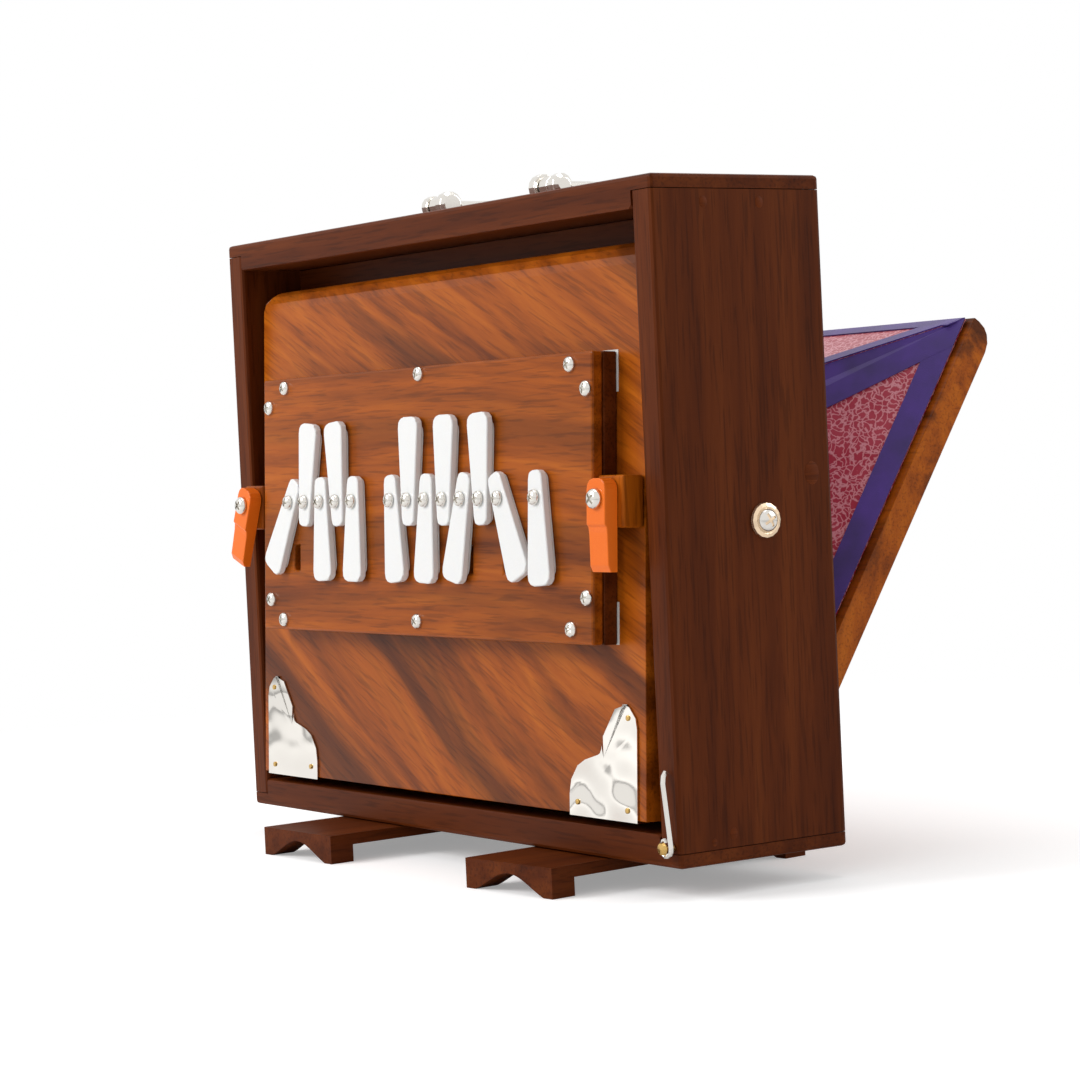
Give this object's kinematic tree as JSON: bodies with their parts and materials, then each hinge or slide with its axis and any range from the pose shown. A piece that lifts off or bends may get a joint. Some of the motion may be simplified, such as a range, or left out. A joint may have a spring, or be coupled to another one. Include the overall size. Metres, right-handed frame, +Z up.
{
  "type": "shruti box",
  "caption": "Drone reed organ in a wooden case with a fan-opening bellows board behind, swinging tabs over air slots and swivelling feet.",
  "frame": {"origin": "centre of the overall box in plan, on the floor plane under the feet", "axes": "+X to the player's right along the case's width, +Y from the tab side to the bellows side, +Z up"},
  "size_m": [0.3322, 0.2121, 0.2787],
  "materials": {
    "dark_wood": "oiled dark brown hardwood, satin",
    "warm_wood": "warm brown figured hardwood under varnish",
    "white_plastic": "white gloss plastic",
    "orange_lacquer": "wood under orange lacquer",
    "nickel": "bright nickel plate",
    "brass": "plain brass",
    "valve_leather": "soft tan leather",
    "crackle_paper": "red marbled crackle paper on card with purple cloth tape"
  },
  "bodies": {
    "root": {"case_top_board": "dark_wood", "case_bottom_board": "dark_wood", "case_left_side": "dark_wood", "case_right_side": "dark_wood", "divider_board": "warm_wood", "cup_washer_screw_left": "nickel", "cup_washer_screw_right": "nickel", "hook_eye": "brass", "handle_post_left": "nickel", "handle_post_right": "nickel", "feeder_bellows_front": "crackle_paper", "reservoir_bellows": "crackle_paper", "reservoir_spring": "nickel", "transfer_valve_flap": "valve_leather"},
    "reservoir": {"reservoir_board": "warm_wood", "corner_plate_left": "nickel", "corner_plate_right": "nickel", "key_box_frame": "warm_wood", "key_box_face": "warm_wood", "reed_plate": "brass", "latch_block_left": "warm_wood", "latch_block_right": "warm_wood", "turn_button_screw_left": "nickel", "turn_button_screw_right": "nickel", "key_screw_01": "nickel", "key_screw_02": "nickel", "key_screw_03": "nickel", "key_screw_04": "nickel", "key_screw_05": "nickel", "key_screw_06": "nickel", "key_screw_07": "nickel", "key_screw_08": "nickel", "key_screw_09": "nickel", "key_screw_10": "nickel", "key_screw_11": "nickel", "key_screw_12": "nickel", "key_screw_13": "nickel"},
    "feeder": {"feeder_board": "warm_wood", "feeder_bellows_rear": "crackle_paper", "intake_valve_flap": "valve_leather"},
    "handle": {"handle_bail": "nickel"},
    "hook": {"hook": "nickel"},
    "foot_left": {"foot_left": "dark_wood"},
    "foot_right": {"foot_right": "dark_wood"},
    "turn_button_left": {"turn_button_left": "orange_lacquer"},
    "turn_button_right": {"turn_button_right": "orange_lacquer"},
    "key_tab_01": {"key_tab_01": "white_plastic"},
    "key_tab_02": {"key_tab_02": "white_plastic"},
    "key_tab_03": {"key_tab_03": "white_plastic"},
    "key_tab_04": {"key_tab_04": "white_plastic"},
    "key_tab_05": {"key_tab_05": "white_plastic"},
    "key_tab_06": {"key_tab_06": "white_plastic"},
    "key_tab_07": {"key_tab_07": "white_plastic"},
    "key_tab_08": {"key_tab_08": "white_plastic"},
    "key_tab_09": {"key_tab_09": "white_plastic"},
    "key_tab_10": {"key_tab_10": "white_plastic"},
    "key_tab_11": {"key_tab_11": "white_plastic"},
    "key_tab_12": {"key_tab_12": "white_plastic"},
    "key_tab_13": {"key_tab_13": "white_plastic"}
  },
  "joints": [
    {"name": "feeder_swing", "type": "hinge", "parent": "root", "child": "feeder", "pos_m": [0, -0.02177, 0.024], "axis": [1, 0, 0], "range_deg": [0, 33], "deforming": ["feeder_bellows_front", "feeder_bellows_rear"]},
    {"name": "reservoir_swing", "type": "hinge", "parent": "root", "child": "reservoir", "pos_m": [0, -0.05899, 0.02787], "axis": [1, 0, 0], "range_deg": [0, 8], "stiffness_Nm_per_rad": 2, "springref_deg": -11.46, "deforming": ["reservoir_bellows", "reservoir_spring"]},
    {"name": "handle_fold", "type": "hinge", "parent": "root", "child": "handle", "pos_m": [0, -0.02877, 0.2732], "axis": [1, 0, 0], "range_deg": [0, 170]},
    {"name": "hook_turn", "type": "hinge", "parent": "root", "child": "hook", "pos_m": [0.1585, -0.07157, 0.02], "axis": [0, 1, 0], "range_deg": [-12, 115]},
    {"name": "foot_left_swivel", "type": "hinge", "parent": "root", "child": "foot_left", "pos_m": [-0.0631, -0.03547, 0.006], "axis": [0, 0, 1], "range_deg": [0, 87]},
    {"name": "foot_right_swivel", "type": "hinge", "parent": "root", "child": "foot_right", "pos_m": [0.0854, -0.02907, 0.006], "axis": [0, 0, 1], "range_deg": [0, 84.5]},
    {"name": "turn_button_left_swing", "type": "hinge", "parent": "reservoir", "child": "turn_button_left", "pos_m": [-0.137, -0.0777, 0.14842], "axis": [0, 0.9986, -0.0523], "range_deg": [-20, 160]},
    {"name": "turn_button_right_swing", "type": "hinge", "parent": "reservoir", "child": "turn_button_right", "pos_m": [0.137, -0.0777, 0.14842], "axis": [0, -0.9986, 0.0523], "range_deg": [0, 180]},
    {"name": "key_tab_01_swing", "type": "hinge", "parent": "reservoir", "child": "key_tab_01", "pos_m": [-0.0955, -0.07865, 0.14947], "axis": [0, -0.9986, 0.0523], "range_deg": [0, 45]},
    {"name": "key_tab_02_swing", "type": "hinge", "parent": "reservoir", "child": "key_tab_02", "pos_m": [-0.082, -0.07865, 0.14947], "axis": [0, -0.9986, 0.0523], "range_deg": [-11.5, 2.5]},
    {"name": "key_tab_03_swing", "type": "hinge", "parent": "reservoir", "child": "key_tab_03", "pos_m": [-0.0685, -0.07865, 0.14947], "axis": [0, -0.9986, 0.0523], "range_deg": [-22.7, 17.3]},
    {"name": "key_tab_04_swing", "type": "hinge", "parent": "reservoir", "child": "key_tab_04", "pos_m": [-0.055, -0.07865, 0.14947], "axis": [0, -0.9986, 0.0523], "range_deg": [-24, 13.9]},
    {"name": "key_tab_05_swing", "type": "hinge", "parent": "reservoir", "child": "key_tab_05", "pos_m": [-0.0415, -0.07865, 0.14947], "axis": [0, -0.9986, 0.0523], "range_deg": [-13.5, 21.2]},
    {"name": "key_tab_06_swing", "type": "hinge", "parent": "reservoir", "child": "key_tab_06", "pos_m": [-0.01045, -0.07865, 0.14947], "axis": [0, -0.9986, 0.0523], "range_deg": [-25.5, 12]},
    {"name": "key_tab_07_swing", "type": "hinge", "parent": "reservoir", "child": "key_tab_07", "pos_m": [0.00305, -0.07865, 0.14947], "axis": [0, -0.9986, 0.0523], "range_deg": [-19.5, 20]},
    {"name": "key_tab_08_swing", "type": "hinge", "parent": "reservoir", "child": "key_tab_08", "pos_m": [0.01655, -0.07865, 0.14947], "axis": [0, -0.9986, 0.0523], "range_deg": [-15, 13.5]},
    {"name": "key_tab_09_swing", "type": "hinge", "parent": "reservoir", "child": "key_tab_09", "pos_m": [0.03005, -0.07865, 0.14947], "axis": [0, -0.9986, 0.0523], "range_deg": [-20, 8.5]},
    {"name": "key_tab_10_swing", "type": "hinge", "parent": "reservoir", "child": "key_tab_10", "pos_m": [0.04355, -0.07865, 0.14947], "axis": [0, -0.9986, 0.0523], "range_deg": [-4.9, 32.5]},
    {"name": "key_tab_11_swing", "type": "hinge", "parent": "reservoir", "child": "key_tab_11", "pos_m": [0.05705, -0.07865, 0.14947], "axis": [0, -0.9986, 0.0523], "range_deg": [-5.5, 6.9]},
    {"name": "key_tab_12_swing", "type": "hinge", "parent": "reservoir", "child": "key_tab_12", "pos_m": [0.07055, -0.07865, 0.14947], "axis": [0, -0.9986, 0.0523], "range_deg": [-40, 0]},
    {"name": "key_tab_13_swing", "type": "hinge", "parent": "reservoir", "child": "key_tab_13", "pos_m": [0.0962, -0.07865, 0.14947], "axis": [0, -0.9986, 0.0523], "range_deg": [-1.5, 16.1]}
  ]
}
